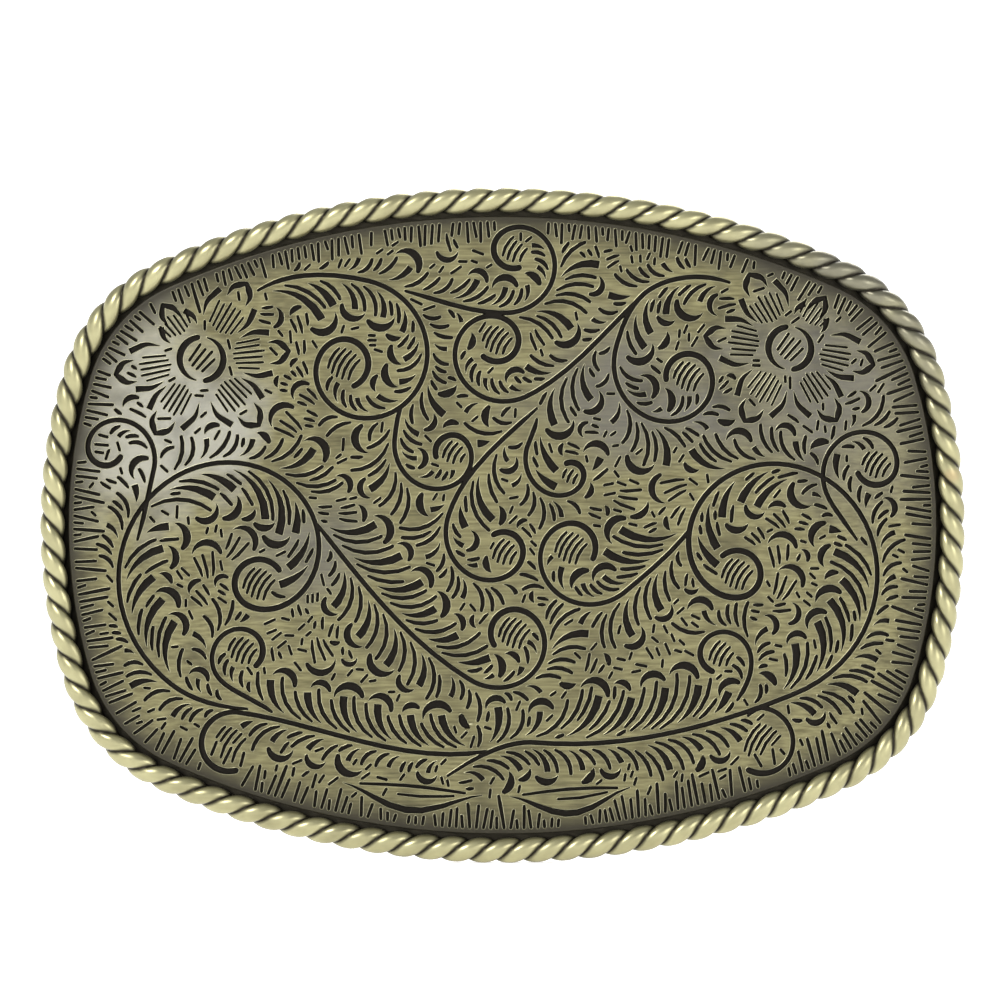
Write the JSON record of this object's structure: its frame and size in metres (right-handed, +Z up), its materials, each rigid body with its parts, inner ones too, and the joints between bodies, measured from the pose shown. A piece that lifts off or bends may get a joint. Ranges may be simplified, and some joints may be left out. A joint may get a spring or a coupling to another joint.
{
  "type": "belt buckle",
  "caption": "Western belt buckle: an engraved brass face plate in a twisted rope edge, on a curved back plate with a swinging strap bail and a ball-headed hook.",
  "frame": {"origin": "middle of the back plate's rear surface, where the belt lies", "axes": "+X to the right seen from the front, +Z up as worn, and the face looks along -Y; both plates are bent about a vertical axis behind the buckle"},
  "size_m": [0.095, 0.0172, 0.069],
  "materials": {
    "face_brass": "brushed antique brass with dark cuts",
    "rope_brass": "twisted wire, antique, worn bright on the crests",
    "back_brass": "dull cast antique brass",
    "fitting_brass": "dull antique brass, rubbed bright on the edges",
    "pin_steel": "drawn wire with peened ends"
  },
  "bodies": {
    "buckle": {"back_plate": "back_brass", "face_plate": "face_brass", "rope_edge": "rope_brass", "hinge_bracket": "fitting_brass", "hinge_rivet_upper": "fitting_brass", "hinge_rivet_lower": "fitting_brass", "hinge_pin": "pin_steel", "hook_base": "fitting_brass", "hook_post": "fitting_brass"},
    "bail": {"bail_loop": "fitting_brass"}
  },
  "joints": [
    {"name": "bail_swing", "type": "hinge", "parent": "buckle", "child": "bail", "pos_m": [0.01569, 0.00477, 0], "axis": [0, 0, 1], "range_deg": [-4, 184]}
  ]
}
